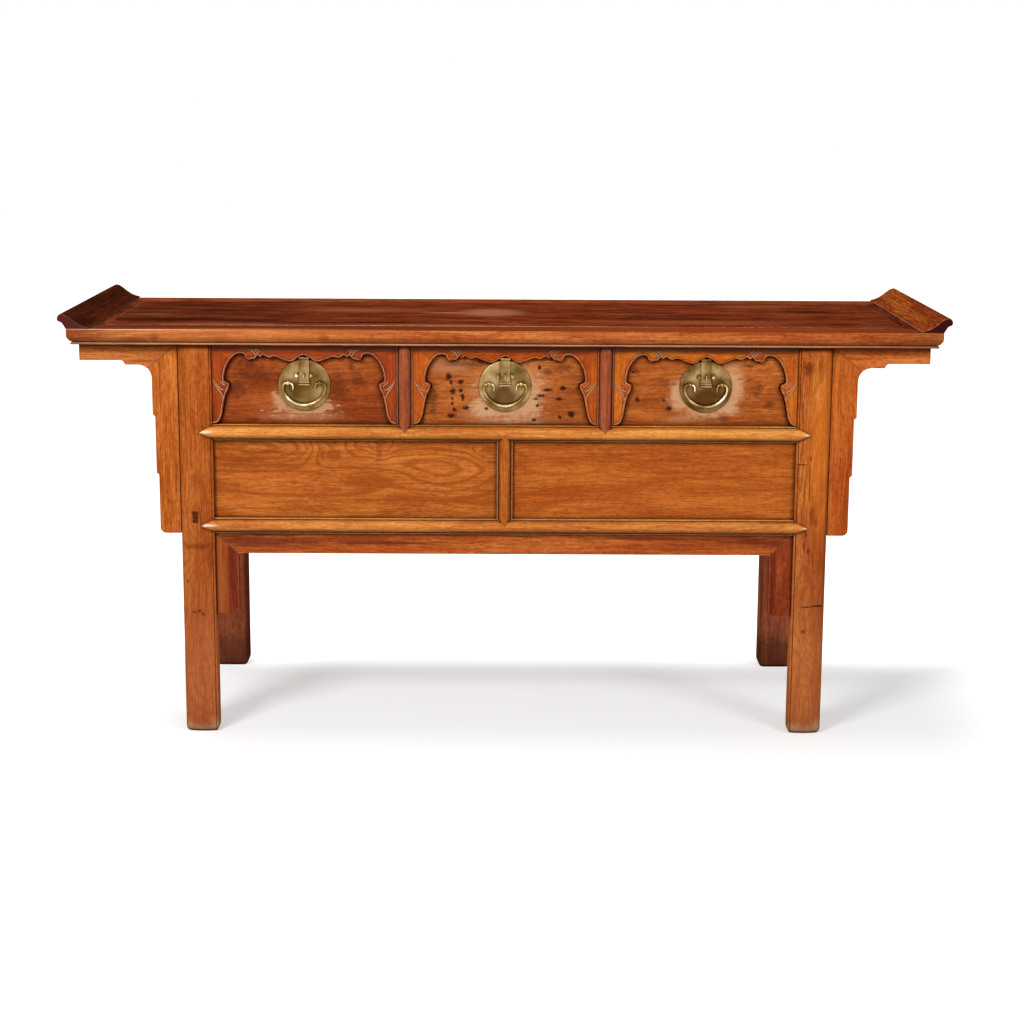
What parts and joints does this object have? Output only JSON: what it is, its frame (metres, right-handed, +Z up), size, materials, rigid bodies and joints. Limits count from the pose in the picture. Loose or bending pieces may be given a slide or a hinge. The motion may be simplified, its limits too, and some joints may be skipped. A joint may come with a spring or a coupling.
{
  "type": "altar coffer",
  "caption": "Long side table with upturned ends, carved drawers with round brass plates and bail handles, a hidden compartment below, stepped spandrels beside the legs and a plain apron.",
  "frame": {"origin": "on the floor under the middle of the top", "axes": "+X along the front to the right, -Y out of the front, +Z up"},
  "size_m": [1.83, 0.545, 0.897],
  "materials": {
    "top_wood": "waxed hardwood, darkened and rubbed",
    "frame_wood": "waxed golden hardwood, worn edges",
    "divider_wood": "waxed reddish hardwood",
    "spandrel_wood": "waxed hardwood",
    "panel_wood": "waxed hardwood with open figure",
    "drawer_wood": "waxed hardwood, stained round the metal",
    "carved_wood": "waxed hardwood, carved edge",
    "inner_wood": "plain sawn softwood",
    "brass": "old rubbed brass"
  },
  "bodies": {
    "case": {"top_rail_front": "top_wood", "top_rail_back": "top_wood", "top_end_left": "top_wood", "top_end_right": "top_wood", "top_boards": "top_wood", "flange_left": "top_wood", "flange_right": "top_wood", "leg_front_left": "frame_wood", "leg_front_right": "frame_wood", "leg_back_left": "frame_wood", "leg_back_right": "frame_wood", "drawer_rail_front": "frame_wood", "base_rail_front": "frame_wood", "upper_rail_back": "frame_wood", "drawer_rail_back": "frame_wood", "base_rail_back": "frame_wood", "side_rails_left": "frame_wood", "side_rails_right": "frame_wood", "back_muntins": "frame_wood", "front_muntin": "frame_wood", "drawer_divider_left": "divider_wood", "drawer_divider_right": "divider_wood", "spandrel_front_left": "spandrel_wood", "spandrel_front_right": "spandrel_wood", "spandrel_back_left": "spandrel_wood", "spandrel_back_right": "spandrel_wood", "apron_front": "spandrel_wood", "front_panel_left": "panel_wood", "front_panel_right": "panel_wood", "back_panels": "panel_wood", "side_panels_left": "panel_wood", "side_panels_right": "panel_wood", "top_battens": "inner_wood", "floor_boards": "inner_wood", "floor_bearer": "inner_wood", "drawer_runners": "inner_wood"},
    "drawer_left": {"drawer_left_front": "drawer_wood", "drawer_left_box": "inner_wood", "drawer_left_bottom": "inner_wood", "drawer_left_frame": "carved_wood", "drawer_left_plate": "brass", "drawer_left_staples": "brass"},
    "hasp_left": {"drawer_left_hasp": "brass"},
    "bail_left": {"drawer_left_bail": "brass"},
    "drawer_middle": {"drawer_middle_front": "drawer_wood", "drawer_middle_box": "inner_wood", "drawer_middle_bottom": "inner_wood", "drawer_middle_frame": "carved_wood", "drawer_middle_plate": "brass", "drawer_middle_staples": "brass"},
    "hasp_middle": {"drawer_middle_hasp": "brass"},
    "bail_middle": {"drawer_middle_bail": "brass"},
    "drawer_right": {"drawer_right_front": "drawer_wood", "drawer_right_box": "inner_wood", "drawer_right_bottom": "inner_wood", "drawer_right_frame": "carved_wood", "drawer_right_plate": "brass", "drawer_right_staples": "brass"},
    "hasp_right": {"drawer_right_hasp": "brass"},
    "bail_right": {"drawer_right_bail": "brass"}
  },
  "joints": [
    {"name": "drawer_left_slide", "type": "slide", "parent": "case", "child": "drawer_left", "axis": [0, -1, 0], "range_m": [0, 0.38]},
    {"name": "hasp_left_swing", "type": "hinge", "parent": "drawer_left", "child": "hasp_left", "pos_m": [-0.41533, -0.2439, 0.804], "axis": [-1, 0, 0], "range_deg": [0, 100]},
    {"name": "bail_left_swing", "type": "hinge", "parent": "drawer_left", "child": "bail_left", "pos_m": [-0.41533, -0.2462, 0.752], "axis": [-1, 0, 0], "range_deg": [0, 100]},
    {"name": "drawer_middle_slide", "type": "slide", "parent": "case", "child": "drawer_middle", "axis": [0, -1, 0], "range_m": [0, 0.38]},
    {"name": "hasp_middle_swing", "type": "hinge", "parent": "drawer_middle", "child": "hasp_middle", "pos_m": [0, -0.2439, 0.804], "axis": [-1, 0, 0], "range_deg": [0, 100]},
    {"name": "bail_middle_swing", "type": "hinge", "parent": "drawer_middle", "child": "bail_middle", "pos_m": [0, -0.2462, 0.752], "axis": [-1, 0, 0], "range_deg": [0, 100]},
    {"name": "drawer_right_slide", "type": "slide", "parent": "case", "child": "drawer_right", "axis": [0, -1, 0], "range_m": [0, 0.38]},
    {"name": "hasp_right_swing", "type": "hinge", "parent": "drawer_right", "child": "hasp_right", "pos_m": [0.41533, -0.2439, 0.804], "axis": [-1, 0, 0], "range_deg": [0, 100]},
    {"name": "bail_right_swing", "type": "hinge", "parent": "drawer_right", "child": "bail_right", "pos_m": [0.41533, -0.2462, 0.752], "axis": [-1, 0, 0], "range_deg": [0, 100]}
  ]
}
